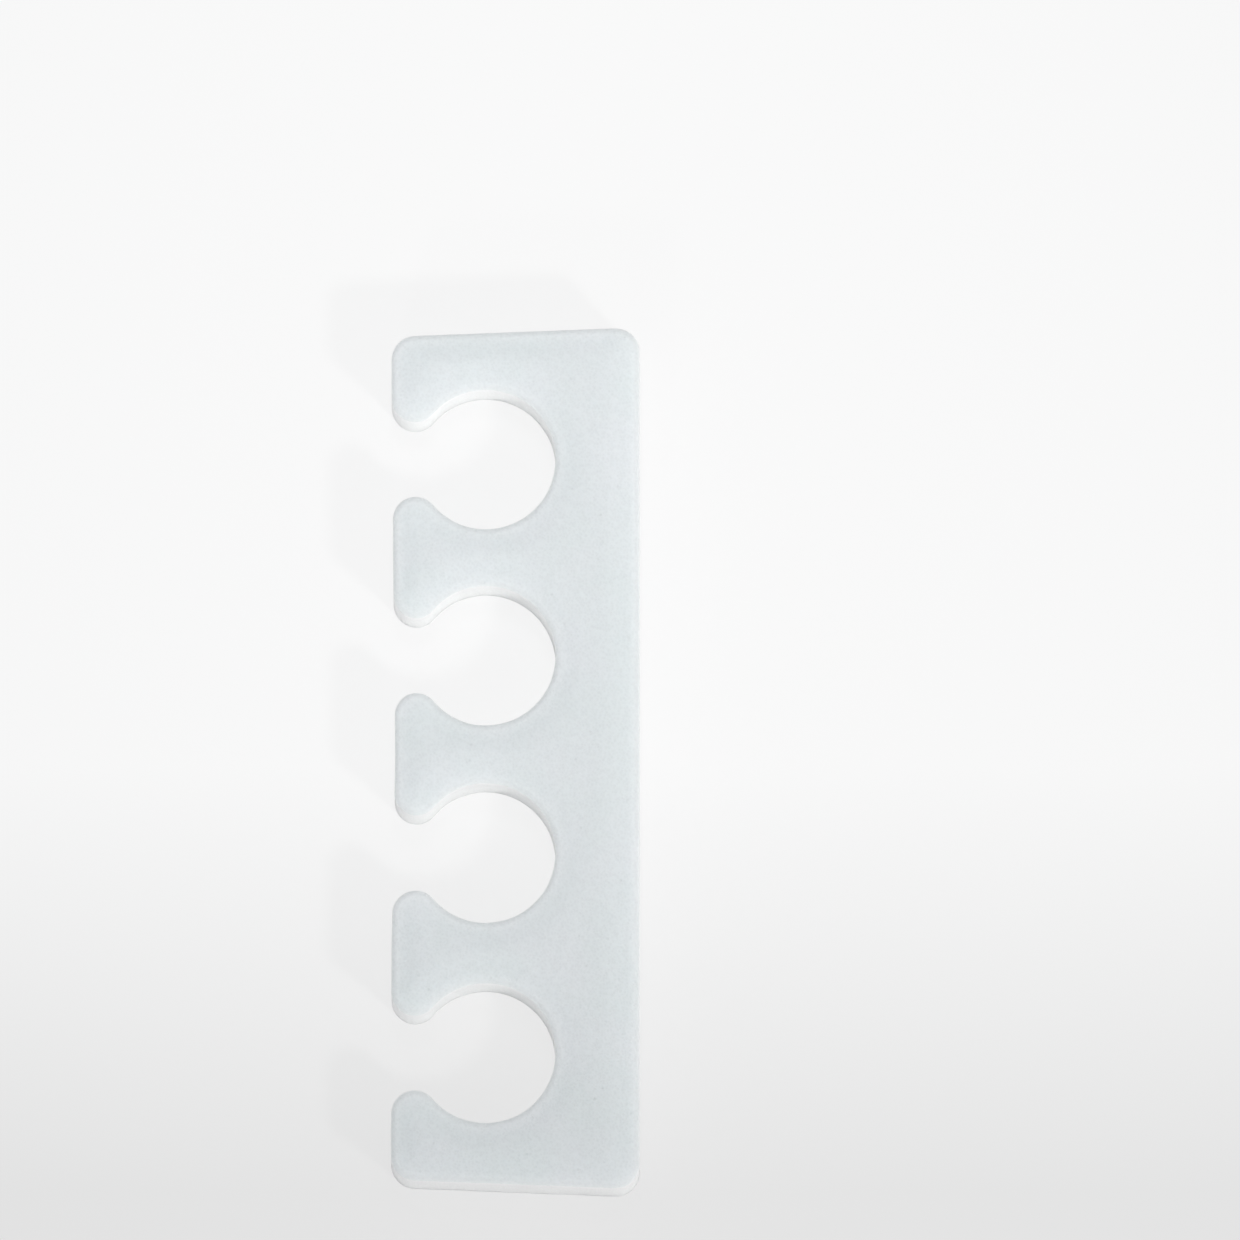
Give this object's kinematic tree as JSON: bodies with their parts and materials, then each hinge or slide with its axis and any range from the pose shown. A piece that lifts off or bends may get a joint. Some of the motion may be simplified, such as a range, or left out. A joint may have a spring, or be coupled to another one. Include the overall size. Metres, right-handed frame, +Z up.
{
  "type": "toe separator",
  "caption": "Flat die-cut foam slab with a row of round toe holes open through one long edge; it holds the toes of one foot apart while the nails are painted and dry.",
  "frame": {"origin": "middle of the underside of the slab's bounding box, which is the surface that it lies on", "axes": "+Z up through the slab's thickness, +Y along its length, +X towards the closed back edge, so that the toe holes open towards -X"},
  "size_m": [0.0292, 0.1012, 0.01],
  "materials": {
    "foam": "matte"
  },
  "bodies": {
    "root": {"toe_separator": "foam"}
  },
  "joints": []
}
